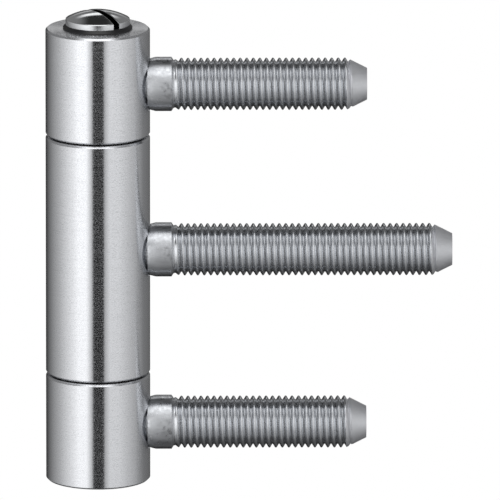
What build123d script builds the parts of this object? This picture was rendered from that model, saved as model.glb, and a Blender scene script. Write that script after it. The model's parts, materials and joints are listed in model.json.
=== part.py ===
from build123d import *
import os
from math import cos, radians, tan

# Drill-in hinge for a timber door: three turned knuckles on one slotted pin, and a threaded
# stud in each knuckle. The upper and lower studs go into the frame, the long middle one
# into the door leaf. Sizes are in millimetres.
# The origin is on the pivot axis, in the bottom face of the lower knuckle. +Z runs up the
# pin to its head, and +X points along the studs.

# Knuckles
barrel_d = 20.0
frame_knuckle_len = 20.7
leaf_knuckle_len = 46.4
knuckle_chamfer = 0.35
blind_floor = 3.0

# Pin with a domed, slotted head
pin_d = 9.0
pin_end_gap = 0.5
pin_end_chamfer = 0.8
pin_thread_step = 0.5
pin_thread_len = 8.0
pin_thread_relief = 1.5
head_overhang = 1.15
head_band = 1.05
dome_height = 1.6
slot_width = 1.2
slot_depth = 2.6
slot_bearing_deg = -54.0
head_edge_round = 0.2

# Seal washer under the head, with a bevelled rim
washer_thk = 0.8
washer_lip = 0.5
washer_lip_height = 0.25

# Flanged bushes in the leaf knuckle
bush_wall = 2.0
bush_len = 14.0
flange_thk = 1.0
flange_setback = 1.4
flange_proud = 0.35

# Studs: spigot, collar, neck, threaded shank and bevelled tip
thread_d = 10.0
thread_pitch = 1.25
collar_step = 0.2
collar_len = 4.1
collar_bevel_len = 0.4
seat_bevel_len = 1.6
seat_bevel_step = 0.4
seat_depth = 0.5
frame_stud_inset = 9.7
leaf_stud_rise = 0.75
spigot_shoulder = 1.2
neck_len = 0.3
frame_thread_len = 32.8
leaf_thread_len = 49.2
tip_end_d = 6.1
tip_angle_deg = 26.5

# Clearances
running_clearance = 0.04
fixed_clearance = 0.02
flange_play = 0.05
relief_clearance = 0.4
spigot_end_gap = 0.3
overcut = 1.0

# Sizes that follow from the above
barrel_r = barrel_d / 2
pin_r = pin_d / 2
pin_thread_r = pin_r + pin_thread_step
head_r = pin_thread_r + head_overhang
bush_r = pin_r + bush_wall
flange_r = barrel_r - flange_setback
seam_gap = flange_proud + flange_play
thread_r = thread_d / 2
collar_r = thread_r + collar_step
spigot_r = collar_r - spigot_shoulder
# A rolled thread starts from a blank of the pitch diameter, which the neck still has.
thread_height = thread_pitch * cos(radians(30))
neck_r = thread_r - thread_height * 3 / 8
tip_len = (thread_r - tip_end_d / 2) / tan(radians(tip_angle_deg))

# Heights along the pivot axis
lower_top = frame_knuckle_len
leaf_base = lower_top + seam_gap
leaf_top = leaf_base + leaf_knuckle_len
upper_base = leaf_top + seam_gap
upper_top = upper_base + frame_knuckle_len
head_base = upper_top + washer_thk
lower_stud_z = lower_top - frame_stud_inset
leaf_stud_z = (leaf_base + leaf_top) / 2 + leaf_stud_rise
upper_stud_z = upper_base + frame_stud_inset

# Stations along a stud, from the pivot axis
seat_x = barrel_r - seat_depth
spigot_x = pin_thread_r + spigot_end_gap
collar_x = barrel_r + collar_len
neck_x = collar_x + collar_bevel_len
thread_x = neck_x + neck_len


def turned(corners):
    """Solid of revolution about Z from (radius, height) corners."""
    outline = Polyline([(radius, 0, height) for radius, height in corners], close=True)
    return revolve(make_face(outline), Axis.Z)


def rod(radius, low, high):
    """Solid cylinder about Z between two heights."""
    return Pos(0, 0, low) * Cylinder(radius, high - low, align=(Align.CENTER, Align.CENTER, Align.MIN))


def along_stud(shape, height):
    """Lays a shape built about Z along +X at a height on the pivot axis."""
    return Pos(0, 0, height) * Rot(0, 90, 0) * shape


def knuckle_blank(base, top, stud_z):
    """Chamfered barrel length with the drilled and spot-faced seat of its stud."""
    edge_r = barrel_r - knuckle_chamfer
    blank = turned([
        (0, base),
        (edge_r, base),
        (barrel_r, base + knuckle_chamfer),
        (barrel_r, top - knuckle_chamfer),
        (edge_r, top),
        (0, top),
    ])
    hole = rod(spigot_r + fixed_clearance, 0, barrel_r + overcut)
    spot_face = rod(collar_r + fixed_clearance, seat_x, barrel_r + overcut)
    return blank - along_stud(hole, stud_z) - along_stud(spot_face, stud_z)


def make_upper_knuckle():
    """Frame knuckle that the pin is screwed into."""
    body = knuckle_blank(upper_base, upper_top, upper_stud_z)
    body -= rod(pin_r + running_clearance, upper_base - overcut, upper_top + overcut)
    tapped_base = upper_top - pin_thread_len - pin_thread_relief
    return body - rod(pin_thread_r + fixed_clearance, tapped_base, upper_top + overcut)


def make_middle_knuckle():
    """Leaf knuckle, bored at both ends for a flanged bush."""
    body = knuckle_blank(leaf_base, leaf_top, leaf_stud_z)
    body -= rod(pin_r + relief_clearance, leaf_base - overcut, leaf_top + overcut)
    seat_len = bush_len - flange_proud + fixed_clearance
    recess = flange_thk - flange_proud
    for end, inward in ((leaf_base, 1), (leaf_top, -1)):
        for radius, depth in ((bush_r, seat_len), (flange_r, recess)):
            low, high = sorted((end - inward * overcut, end + inward * depth))
            body -= rod(radius + fixed_clearance, low, high)
    return body


def make_lower_knuckle():
    """Frame knuckle with a blind bore for the foot of the pin."""
    body = knuckle_blank(0, lower_top, lower_stud_z)
    return body - rod(pin_r + running_clearance, blind_floor, lower_top + overcut)


def make_bush(flange_face, inward):
    """Flanged bush whose flange face is at a height, with its sleeve running inward."""
    bore_r = pin_r + running_clearance
    return turned([
        (bore_r, flange_face),
        (flange_r, flange_face),
        (flange_r, flange_face + inward * flange_thk),
        (bush_r, flange_face + inward * flange_thk),
        (bush_r, flange_face + inward * bush_len),
        (bore_r, flange_face + inward * bush_len),
    ])


def make_stud(thread_len, height):
    """Stud with its spigot in the knuckle and its collar on the spot face."""
    tip_x = thread_x + thread_len
    body = turned([
        (0, spigot_x),
        (spigot_r, spigot_x),
        (spigot_r, seat_x),
        (collar_r - seat_bevel_step, seat_x),
        (collar_r, seat_x + seat_bevel_len),
        (collar_r, collar_x),
        (neck_r, neck_x),
        (neck_r, thread_x),
        (thread_r, thread_x),
        (thread_r, tip_x),
        (tip_end_d / 2, tip_x + tip_len),
        (0, tip_x + tip_len),
    ])
    return along_stud(body, height)


def make_head():
    """Domed pin head with its screwdriver slot."""
    band_top = head_base + head_band
    dome_top = band_top + dome_height
    sphere_r = (head_r**2 + dome_height**2) / (2 * dome_height)
    dome = Pos(0, 0, dome_top - sphere_r) * Sphere(sphere_r)
    head = rod(head_r, head_base, dome_top) & dome
    head += rod(head_r, head_base, band_top)
    slot = Box(2 * head_r + overcut, slot_width, slot_depth + overcut)
    slot_floor = dome_top - slot_depth
    slot_middle = slot_floor + (slot_depth + overcut) / 2
    head -= Pos(0, 0, slot_middle) * Rot(0, 0, slot_bearing_deg) * slot
    dome_edges = [edge for edge in head.edges() if edge.bounding_box().min.Z > slot_floor + head_edge_round]
    return fillet(dome_edges, head_edge_round)


def make_pin():
    """Slotted pin: head, threaded length in the upper knuckle and plain shank."""
    foot = blind_floor + pin_end_gap
    thread_base = upper_top - pin_thread_len
    shank = turned([
        (0, foot),
        (pin_r - pin_end_chamfer, foot),
        (pin_r, foot + pin_end_chamfer),
        (pin_r, thread_base - pin_thread_step),
        (pin_thread_r, thread_base),
        (pin_thread_r, head_base),
        (0, head_base),
    ])
    return shank + make_head()


def make_washer():
    """Seal washer with a bevelled rim that shows below the pin head."""
    bore_r = pin_thread_r + fixed_clearance
    return turned([
        (bore_r, upper_top),
        (head_r + washer_lip, upper_top),
        (head_r + washer_lip, upper_top + washer_lip_height),
        (head_r, head_base),
        (bore_r, head_base),
    ])


pieces = {
    "upper_knuckle": make_upper_knuckle(),
    "middle_knuckle": make_middle_knuckle(),
    "lower_knuckle": make_lower_knuckle(),
    "upper_stud": make_stud(frame_thread_len, upper_stud_z),
    "middle_stud": make_stud(leaf_thread_len, leaf_stud_z),
    "lower_stud": make_stud(frame_thread_len, lower_stud_z),
    "hinge_pin": make_pin(),
    "head_washer": make_washer(),
    "upper_bush": make_bush(leaf_top + flange_proud, -1),
    "lower_bush": make_bush(leaf_base - flange_proud, 1),
}

os.makedirs("parts", exist_ok=True)
for name, piece in pieces.items():
    export_step(piece, f"parts/{name}.step")
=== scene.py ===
import json
from collections import namedtuple
from math import cos, hypot, pi, radians, sin, tan

import bmesh
import bpy
from mathutils import Euler, Matrix, Vector

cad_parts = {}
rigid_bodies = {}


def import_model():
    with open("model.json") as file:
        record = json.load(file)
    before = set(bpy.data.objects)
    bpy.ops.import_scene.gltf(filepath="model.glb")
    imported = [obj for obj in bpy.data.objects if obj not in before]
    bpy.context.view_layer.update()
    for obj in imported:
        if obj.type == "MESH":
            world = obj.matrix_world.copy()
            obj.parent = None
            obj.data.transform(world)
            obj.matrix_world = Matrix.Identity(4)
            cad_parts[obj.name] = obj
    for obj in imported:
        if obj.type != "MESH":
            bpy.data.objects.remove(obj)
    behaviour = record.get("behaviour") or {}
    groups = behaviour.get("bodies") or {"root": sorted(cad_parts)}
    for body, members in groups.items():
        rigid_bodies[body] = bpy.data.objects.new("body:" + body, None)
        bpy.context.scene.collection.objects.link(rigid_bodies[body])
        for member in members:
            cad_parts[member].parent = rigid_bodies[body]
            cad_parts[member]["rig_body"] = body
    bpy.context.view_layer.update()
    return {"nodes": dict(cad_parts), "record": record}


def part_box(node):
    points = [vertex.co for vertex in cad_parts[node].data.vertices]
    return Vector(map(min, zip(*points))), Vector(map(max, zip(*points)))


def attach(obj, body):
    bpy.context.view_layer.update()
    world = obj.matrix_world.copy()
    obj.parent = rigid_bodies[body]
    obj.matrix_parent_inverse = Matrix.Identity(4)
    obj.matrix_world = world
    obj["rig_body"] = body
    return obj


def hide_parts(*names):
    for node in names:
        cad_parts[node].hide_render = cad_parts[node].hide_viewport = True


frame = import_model()

# Drill-in hinge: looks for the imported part. Sizes are in metres, in the part's own frame:
# +Z up the pin, +X along the studs, and the camera on the -Y side.

# Camera
camera_target = Vector((0.02915, 0.0, 0.0449))
camera_bearing_deg = -0.5
camera_elevation_deg = 13.5
camera_roll_deg = 0.04
camera_distance = 3.5
view_width = 0.09586

# Floor, far enough below the part to keep its shadow out of the picture
floor_z = -5.0
floor_size = 20.0
floor_color = (0.9, 0.9, 0.9)

# Surroundings, which are white where they are seen and light the floor at a lower level
surroundings_color = (1.0, 1.0, 1.0)
fill_brightness = 0.5

# Light tent round the part. Its lower part has its brightness by bearing, where 0 is the camera's
# side and +90 is to its right, evened out towards the bottom, times a share that goes by elevation.
# Its upper part goes by pitch, where 0 is the camera's side of the horizon, 90 is overhead and
# 180 is behind, evened out towards the two sides, and sooner behind than in front.
tent_radius = 0.8
tent_segments = 64
tent_rings = 32
bearing_brightness = [
    (-180, 0.04),
    (-158, 0.04),
    (-145, 0.10),
    (-125, 0.26),
    (-95, 0.56),
    (-60, 1.10),
    (-45, 1.42),
    (-28, 1.42),
    (-15, 0.55),
    (-12.5, 0.02),
    (10, 0.02),
    (12.5, 0.50),
    (24, 0.93),
    (45, 0.93),
    (90, 0.53),
    (120, 0.24),
    (150, 0.17),
    (162, 0.14),
    (180, 0.04),
]
elevation_share = [
    (-90, 0.10),
    (-74, 0.19),
    (-60, 0.38),
    (-37, 0.57),
    (-24, 0.76),
    (-13, 1.00),
    (5, 1.18),
]
nadir_brightness = 0.55
nadir_none_deg = -50.0
nadir_full_deg = -80.0
pitch_brightness = [
    (0, 0.78),
    (10, 0.70),
    (40, 1.05),
    (60, 1.90),
    (78, 1.90),
    (96, 0.60),
    (104, 0.03),
    (138, 0.03),
    (141, 1.30),
    (147, 1.30),
    (150, 0.15),
    (158, 0.15),
    (163, 0.75),
    (180, 0.75),
]
side_brightness = 0.22
side_shift_share = 0.03
side_none_share = 0.22
side_full_share = 0.55
side_narrowing = 1.2
upper_none_deg = 18.0
upper_full_deg = 33.0
upper_lowering_deg = 12.0

# Finishes. A layer of grain is a noise with its scales along X, Y and Z and its octaves, and the
# spread of the roughness and the height of the bumps that it gives. Turned metal has turning marks
# round an axis, and a quarter turn spreads its reflections across them. The noise runs from about
# its low value to its high one.
Grain = namedtuple("Grain", "scales octaves spread height")
noise_low = 0.3
noise_high = 0.7
quarter_turn = 0.25
zinc_color = (0.615, 0.63, 0.655)
zinc_scales = (1500, 1500, 1500)
black = (0.008, 0.008, 0.009)
metal_finishes = {
    "brushed_knuckle": {
        "color": (0.73, 0.74, 0.765),
        "roughness": 0.22,
        "grain": [Grain((250, 250, 5000), 3, 0.03, 2e-6), Grain((3500, 3500, 6000), 1, 0.08, 2e-6)],
        "turned_about": "Z",
        "anisotropic": 1.0,
    },
    "zinc_collar": {
        "color": zinc_color,
        "roughness": 0.35,
        "grain": [Grain(zinc_scales, 1, 0.08, 3e-6)],
        "turned_about": "X",
        "anisotropic": 0.75,
    },
    "zinc_thread": {
        "color": zinc_color,
        "roughness": 0.22,
        "grain": [Grain(zinc_scales, 1, 0.04, 1e-6)],
        "turned_about": "X",
        "anisotropic": 0.4,
    },
    # Thread roots: the zinc is painted darker deep in the grooves, as painted shade
    "zinc_root_painted_shade": {
        "color": (0.49, 0.50, 0.52),
        "roughness": 0.26,
        "grain": [Grain(zinc_scales, 1, 0.04, 1e-6)],
        "turned_about": "X",
        "anisotropic": 0.4,
    },
    "zinc_tip": {
        "color": (0.68, 0.69, 0.715),
        "roughness": 0.55,
        "grain": [Grain(zinc_scales, 1, 0.05, 2e-6)],
    },
    "polished_pin": {
        "color": (0.71, 0.72, 0.735),
        "roughness": 0.09,
        "grain": [Grain((2500, 2500, 2500), 3, 0.04, 1e-6)],
    },
}
plastic_finishes = {
    "black_washer": {"color": black, "roughness": 0.35, "specular": 0.5},
    "black_bush": {"color": black, "roughness": 0.6, "specular": 0.15},
}

# Pin's head: its slot is painted dark as painted shade, rounded edges included, and its rim is rougher
# than its dome
slot_bearing_deg = -54.0
slot_painted_shade_width = 0.00132
slot_painted_shade_color = (0.01, 0.01, 0.01)
head_base_z = 0.0894
head_band_top_z = 0.09045
rim_added_roughness = 0.22

# Studs: their plain lengths and the angle of their tips, as packed. The mounts give their threads.
spigot_r = 0.0040
collar_r = 0.0052
seat_x = 0.0095
seat_r = 0.0048
seat_bevel_x = 0.0111
collar_x = 0.0141
neck_x = 0.0145
tip_angle_deg = 26.5
mm_per_m = 1000
stud_mounts = {
    "upper_stud": "upper_frame_stud",
    "middle_stud": "leaf_stud",
    "lower_stud": "lower_frame_stud",
}
stud_metals = ["zinc_collar", "zinc_thread", "zinc_tip", "zinc_root_painted_shade"]

# Thread of the studs, which comes up from the blank over its run-in. The shares are of the pitch, and that
# of the root's painted shade is of the depth.
thread_pitch = 0.00125
flank_angle_deg = 30.0
thread_run_in = 0.0012
crest_share = 0.22
flank_share = 0.34
ease_share = 0.05
depth_share = 0.58
painted_shade_root_share = 0.6

# Mesh of the studs. Each column starts later in the thread than the one before, by a turn in all,
# so the thread has spare turns at its ends.
columns = 72
root_steps = 3
turns_before = 1
turns_after = 3
sharp_angle_deg = 50.0
merge_distance = 1e-7

# Sizes that follow from the above. The blank that a thread is rolled from has its pitch diameter.
blank_depth = thread_pitch * 3 / 8 * cos(radians(flank_angle_deg))
root_depth = depth_share * thread_pitch
tip_slope = tan(radians(tip_angle_deg))

StudSizes = namedtuple("StudSizes", "axis_z spigot_x thread_r blank_r tip_x tip_end_x tip_end_r")


class Nodes:
    """Adds nodes to a node tree. An input takes a value, or an output that it is linked to."""

    def __init__(self, tree):
        self.tree = tree

    def feed(self, socket, value):
        """Gives an input its value or its link."""
        if isinstance(value, bpy.types.NodeSocket):
            self.tree.links.new(value, socket)
        else:
            socket.default_value = value

    def add(self, kind, inputs=None, **settings):
        """Adds a node with its inputs and settings."""
        node = self.tree.nodes.new(kind)
        for name, value in settings.items():
            setattr(node, name, value)
        for name, value in (inputs or {}).items():
            self.feed(node.inputs[name], value)
        return node

    def maths(self, operation, *values):
        """Adds a maths node and returns its output."""
        node = self.add("ShaderNodeMath", operation=operation)
        for socket, value in zip(node.inputs, values):
            self.feed(socket, value)
        return node.outputs[0]

    def coordinates(self):
        """X, Y and Z in the object's own frame."""
        place = self.add("ShaderNodeTexCoord").outputs["Object"]
        return self.add("ShaderNodeSeparateXYZ", {"Vector": place}).outputs


def opaque(color):
    """Colour with full alpha."""
    return (*color, 1.0)


def new_material(name):
    """Material without nodes, and what adds nodes to it."""
    material = bpy.data.materials.new(name)
    material.use_nodes = True
    material.node_tree.nodes.clear()
    return material, Nodes(material.node_tree)


def angle_ramp(nodes, angle, stops):
    """Brightness from (degrees, level) stops, for an angle in radians."""
    place = nodes.maths("ADD", nodes.maths("DIVIDE", angle, 2 * pi), 0.5)
    ramp = nodes.add("ShaderNodeValToRGB", {"Fac": place})
    elements = ramp.color_ramp.elements
    while len(elements) < len(stops):
        elements.new(1.0)
    for element, (degrees, level) in zip(elements, stops):
        element.position = degrees / 360 + 0.5
        element.color = opaque((level, level, level))
    return ramp.outputs["Color"]


def blended(nodes, value, none_at, full_at, before, after):
    """Passes smoothly from one level to another as a value goes between two limits."""
    limits = {"Value": value, "From Min": none_at, "From Max": full_at}
    step = nodes.add("ShaderNodeMapRange", limits, interpolation_type="SMOOTHSTEP")
    levels = {"Factor": step.outputs["Result"], "A": before, "B": after}
    return nodes.add("ShaderNodeMix", levels).outputs["Result"]


def lower_brightness(nodes, bearing, elevation):
    """Brightness of the tent's lower part."""
    by_bearing = angle_ramp(nodes, bearing, bearing_brightness)
    none_at = radians(nadir_none_deg)
    full_at = radians(nadir_full_deg)
    evened = blended(nodes, elevation, none_at, full_at, by_bearing, nadir_brightness)
    return nodes.maths("MULTIPLY", evened, angle_ramp(nodes, elevation, elevation_share))


def upper_brightness(nodes, pitch, aside, behind):
    """Brightness of the tent's upper part, where aside and behind are shares of its radius."""
    by_pitch = angle_ramp(nodes, pitch, pitch_brightness)
    widened = nodes.maths("ADD", nodes.maths("MULTIPLY", behind, side_narrowing), 1.0)
    from_middle = nodes.maths("ABSOLUTE", nodes.maths("ADD", aside, side_shift_share))
    sideways = nodes.maths("MULTIPLY", from_middle, widened)
    return blended(nodes, sideways, side_none_share, side_full_share, by_pitch, side_brightness)


def make_tent_material():
    """Emission that depends on the direction from the middle of the tent."""
    material, nodes = new_material("light_tent")
    x, y, z = nodes.coordinates()
    front = nodes.maths("MULTIPLY", y, -1.0)
    aside = nodes.maths("DIVIDE", x, tent_radius)
    behind = nodes.maths("DIVIDE", nodes.maths("MAXIMUM", y, 0.0), tent_radius)
    elevation = nodes.maths("ARCSINE", nodes.maths("DIVIDE", z, tent_radius))
    lower = lower_brightness(nodes, nodes.maths("ARCTAN2", x, front), elevation)
    upper = upper_brightness(nodes, nodes.maths("ARCTAN2", z, front), aside, behind)
    lowering = nodes.maths("MULTIPLY", behind, radians(upper_lowering_deg))
    raised = nodes.maths("ADD", elevation, lowering)
    level = blended(nodes, raised, radians(upper_none_deg), radians(upper_full_deg), lower, upper)
    emission = nodes.add("ShaderNodeEmission", {"Strength": level})
    nodes.add("ShaderNodeOutputMaterial", {"Surface": emission.outputs[0]})
    return material


def background_share(nodes):
    """1 for rays that show the background: from the camera, by reflection and through glass."""
    path = nodes.add("ShaderNodeLightPath").outputs
    seen = nodes.maths("MAXIMUM", path["Is Camera Ray"], path["Is Glossy Ray"])
    return nodes.maths("MAXIMUM", seen, path["Is Transmission Ray"])


def make_floor_material():
    """Pale floor that shows as white."""
    material, nodes = new_material("pale_floor")
    paint = nodes.add("ShaderNodeBsdfDiffuse", {"Color": opaque(floor_color)})
    white = nodes.add("ShaderNodeEmission")
    shaders = {"Fac": background_share(nodes), 1: paint.outputs[0], 2: white.outputs[0]}
    mix = nodes.add("ShaderNodeMixShader", shaders)
    nodes.add("ShaderNodeOutputMaterial", {"Surface": mix.outputs[0]})
    return material


def make_world():
    """White surroundings for what shows them, and a dim fill for the rest."""
    world = bpy.data.worlds.new("studio")
    world.use_nodes = True
    world.node_tree.nodes.clear()
    nodes = Nodes(world.node_tree)
    added = nodes.maths("MULTIPLY", background_share(nodes), 1 - fill_brightness)
    strength = nodes.maths("ADD", added, fill_brightness)
    light = {"Color": opaque(surroundings_color), "Strength": strength}
    background = nodes.add("ShaderNodeBackground", light)
    nodes.add("ShaderNodeOutputWorld", {"Surface": background.outputs[0]})
    bpy.context.scene.world = world


def make_stage():
    """Floor and light tent."""
    bpy.ops.mesh.primitive_plane_add(size=floor_size, location=(0, 0, floor_z))
    floor = bpy.context.object
    floor.name = "floor"
    floor.data.materials.append(make_floor_material())
    bpy.ops.mesh.primitive_uv_sphere_add(
        segments=tent_segments, ring_count=tent_rings, radius=tent_radius, location=camera_target
    )
    tent = bpy.context.object
    tent.name = "light_tent"
    tent.data.materials.append(make_tent_material())
    tent.visible_camera = False


def make_camera():
    """Long lens at the photograph's angle."""
    data = bpy.data.cameras.new("camera")
    data.lens = data.sensor_width * camera_distance / view_width
    camera = bpy.data.objects.new("camera", data)
    bearing = radians(camera_bearing_deg)
    elevation = radians(camera_elevation_deg)
    level = cos(elevation)
    towards = Vector((sin(bearing) * level, -cos(bearing) * level, sin(elevation)))
    camera.location = camera_target + camera_distance * towards
    level_view = Euler((pi / 2 - elevation, 0, bearing)).to_matrix()
    roll = Matrix.Rotation(radians(camera_roll_deg), 3, "Z")
    camera.rotation_euler = (level_view @ roll).to_euler()
    bpy.context.scene.collection.objects.link(camera)
    bpy.context.scene.camera = camera


def add_grain(nodes, layer, roughness, normal):
    """Adds a layer of grain to a roughness, and its bumps to those of the layers before. The normal
    is an input by its name, or empty before the first layer."""
    place = nodes.add("ShaderNodeTexCoord").outputs["Object"]
    mapping = nodes.add("ShaderNodeMapping", {"Vector": place, "Scale": layer.scales})
    pattern = {"Vector": mapping.outputs[0], "Scale": 1.0, "Detail": layer.octaves}
    noise = nodes.add("ShaderNodeTexNoise", pattern).outputs["Fac"]
    limits = {
        "Value": noise,
        "From Min": noise_low,
        "From Max": noise_high,
        "To Min": -layer.spread,
        "To Max": layer.spread,
    }
    change = nodes.add("ShaderNodeMapRange", limits)
    bump = nodes.add("ShaderNodeBump", {"Height": noise, "Distance": layer.height, **normal})
    return nodes.maths("ADD", roughness, change.outputs["Result"]), {"Normal": bump.outputs[0]}


def make_metal(name, color, roughness, grain, turned_about=None, anisotropic=0.0):
    """Bare metal, with turning marks round an axis where one is given."""
    material, nodes = new_material(name)
    normal = {}
    for layer in grain:
        roughness, normal = add_grain(nodes, layer, roughness, normal)
    surface = {"Base Color": opaque(color), "Metallic": 1.0, "Roughness": roughness, **normal}
    if turned_about:
        tangent = nodes.add("ShaderNodeTangent", direction_type="RADIAL", axis=turned_about)
        surface["Tangent"] = tangent.outputs[0]
        surface["Anisotropic"] = anisotropic
        surface["Anisotropic Rotation"] = quarter_turn
    shader = nodes.add("ShaderNodeBsdfPrincipled", surface)
    nodes.add("ShaderNodeOutputMaterial", {"Surface": shader.outputs[0]})
    return material


def finish_head(material):
    """Paints the slot of the pin's head dark, as painted shade, and makes its rim less polished, in the
    pin's material.
    """
    nodes = Nodes(material.node_tree)
    surface = material.node_tree.nodes["Principled BSDF"].inputs
    x, y, z = nodes.coordinates()
    bearing = radians(slot_bearing_deg)
    from_y = nodes.maths("MULTIPLY", y, cos(bearing))
    from_x = nodes.maths("MULTIPLY", x, sin(bearing))
    across = nodes.maths("ABSOLUTE", nodes.maths("SUBTRACT", from_y, from_x))
    # Painted shade: the slot's faces and rounded edges get the dark colour
    in_slot_shade = nodes.maths("LESS_THAN", across, slot_painted_shade_width / 2)
    in_head = nodes.maths("GREATER_THAN", z, head_base_z)
    colors = {
        "Factor": nodes.maths("MULTIPLY", in_slot_shade, in_head),
        "A": surface["Base Color"].default_value,
        "B": opaque(slot_painted_shade_color),
    }
    mix = nodes.add("ShaderNodeMix", colors, data_type="RGBA")
    nodes.feed(surface["Base Color"], mix.outputs["Result"])
    below_dome = nodes.maths("LESS_THAN", z, head_band_top_z)
    added = nodes.maths("MULTIPLY", below_dome, rim_added_roughness)
    polished = surface["Roughness"].links[0].from_socket
    nodes.feed(surface["Roughness"], nodes.maths("ADD", polished, added))


def make_plastic(name, color, roughness, specular):
    """Plain moulded plastic."""
    material, nodes = new_material(name)
    surface = {"Base Color": opaque(color), "Roughness": roughness, "Specular IOR Level": specular}
    shader = nodes.add("ShaderNodeBsdfPrincipled", surface)
    nodes.add("ShaderNodeOutputMaterial", {"Surface": shader.outputs[0]})
    return material


def thread_profile():
    """Points over one pitch of the thread: share of the pitch from a crest, share of the depth.
    Flat crest with eased edges, straight flanks, and a root that is rounded as a parabola."""
    crest_half = crest_share / 2
    root_half = 1 - 2 * flank_share - crest_share
    half = [
        (0.0, 0.0),
        (crest_half - ease_share, 0.0),
        (crest_half + ease_share, ease_share / flank_share),
    ]
    for step in range(root_steps):
        across = 1 - step / root_steps
        depth = 1 - across**2 * root_half / (2 * flank_share)
        half.append((0.5 - across * root_half, depth))
    mirrored = [(1 - share, depth) for share, depth in reversed(half[1:])]
    return half + [(0.5, 1.0)] + mirrored


def stud_sizes(node):
    """Sizes of a packed stud from its box and its mount: the height of its axis, the stations of
    its two ends and of the start of its tip, and the radii of its thread, its blank and its end."""
    low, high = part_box(node)
    mount = next(m for m in frame["record"]["mounts"] if m["name"] == stud_mounts[node])
    thread_len = mount["dims"]["length_mm"] / mm_per_m
    thread_r = mount["dims"]["r_mm"] / mm_per_m
    tip_x = mount["pos_m"][0] + thread_len / 2
    return StudSizes(
        axis_z=(low.z + high.z) / 2,
        spigot_x=low.x,
        thread_r=thread_r,
        blank_r=thread_r - blank_depth,
        tip_x=tip_x,
        tip_end_x=high.x,
        tip_end_r=thread_r - (high.x - tip_x) * tip_slope,
    )


def threaded(sizes, turn, depth):
    """Station and radius on the thread, at a number of turns from the neck and a share of its depth."""
    x = min(max(neck_x + thread_pitch * turn, neck_x), sizes.tip_end_x)
    formed = min((x - neck_x) / thread_run_in, 1.0)
    radius = sizes.blank_r + formed * (sizes.thread_r - depth * root_depth - sizes.blank_r)
    return x, min(radius, sizes.tip_end_r + (sizes.tip_end_x - x) * tip_slope)


def stud_columns(sizes, profile):
    """For each angle round a stud, its (station, radius) points from the spigot to the tip,
    and how many of them come before the thread."""
    plain = [
        (sizes.spigot_x, 0.0),
        (sizes.spigot_x, spigot_r),
        (seat_x, spigot_r),
        (seat_x, seat_r),
        (seat_bevel_x, collar_r),
        (collar_x, collar_r),
        (neck_x, sizes.blank_r),
    ]
    turns = int((sizes.tip_end_x - neck_x) / thread_pitch)
    made = []
    for column in range(columns):
        points = list(plain)
        for turn in range(-turns_before, turns + turns_after):
            points += [threaded(sizes, turn + share + column / columns, depth) for share, depth in profile]
        points.append((sizes.tip_end_x, 0.0))
        made.append(points)
    return made, len(plain)


def stud_faces(per_column, plain_count, per_turn):
    """Quads between neighbouring columns. Where the last column meets the first one, the thread
    has gone on by one turn."""
    faces = []
    for column in range(columns):
        here = column * per_column
        beside = (column + 1) % columns * per_column
        end = beside + per_column - 1
        shift = per_turn if column == columns - 1 else 0
        matched = list(range(beside, beside + plain_count))
        matched += [min(beside + point + shift, end) for point in range(plain_count, per_column)]
        for point in range(per_column - 1):
            faces.append((here + point, matched[point], matched[point + 1], here + point + 1))
    return faces


def stud_mesh(name, sizes, profile):
    """Closed mesh of a stud, before doubled points are merged."""
    made, plain_count = stud_columns(sizes, profile)
    vertices = []
    for column, points in enumerate(made):
        angle = 2 * pi * column / columns
        vertices += [(x, radius * cos(angle), sizes.axis_z + radius * sin(angle)) for x, radius in points]
    mesh = bpy.data.meshes.new(name)
    mesh.from_pydata(vertices, [], stud_faces(len(made[0]), plain_count, len(profile)))
    return mesh


def metal_at(sizes, x, radius):
    """Name of the metal that a stud has at a station and a distance from its axis."""
    if x <= neck_x:
        return "zinc_collar"
    if x > sizes.tip_x:
        return "zinc_tip"
    # Faces deep in the grooves get the darker zinc of painted shade
    if radius < sizes.thread_r - painted_shade_root_share * root_depth:
        return "zinc_root_painted_shade"
    return "zinc_thread"


def clean_mesh(mesh):
    """Merges doubled points, turns the faces outward and shades all but the sharp edges smooth."""
    work = bmesh.new()
    work.from_mesh(mesh)
    bmesh.ops.remove_doubles(work, verts=work.verts, dist=merge_distance)
    bmesh.ops.dissolve_degenerate(work, edges=work.edges, dist=merge_distance)
    bmesh.ops.recalc_face_normals(work, faces=work.faces)
    work.to_mesh(mesh)
    work.free()
    mesh.shade_smooth()
    mesh.set_sharp_from_angle(angle=radians(sharp_angle_deg))


def make_stud(node, profile, metals):
    """Threaded stud that stands for a packed one."""
    sizes = stud_sizes(node)
    mesh = stud_mesh(node + "_threaded", sizes, profile)
    for name in stud_metals:
        mesh.materials.append(metals[name])
    for face in mesh.polygons:
        x, y, z = face.center
        face.material_index = stud_metals.index(metal_at(sizes, x, hypot(y, z - sizes.axis_z)))
    clean_mesh(mesh)
    stud = bpy.data.objects.new(node + "_threaded", mesh)
    bpy.context.scene.collection.objects.link(stud)
    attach(stud, frame["nodes"][node]["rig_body"])
    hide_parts(node)


def dress(material, *nodes):
    """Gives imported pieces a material."""
    for node in nodes:
        slots = frame["nodes"][node].data.materials
        slots.clear()
        slots.append(material)


metals = {name: make_metal(name, **finish) for name, finish in metal_finishes.items()}
plastics = {name: make_plastic(name, **finish) for name, finish in plastic_finishes.items()}
finish_head(metals["polished_pin"])

dress(metals["brushed_knuckle"], "upper_knuckle", "middle_knuckle", "lower_knuckle")
dress(metals["polished_pin"], "hinge_pin")
dress(plastics["black_washer"], "head_washer")
dress(plastics["black_bush"], "upper_bush", "lower_bush")
thread_points = thread_profile()
for stud_node in stud_mounts:
    make_stud(stud_node, thread_points, metals)

make_stage()
make_world()
make_camera()
bpy.context.scene.view_settings.view_transform = "Standard"
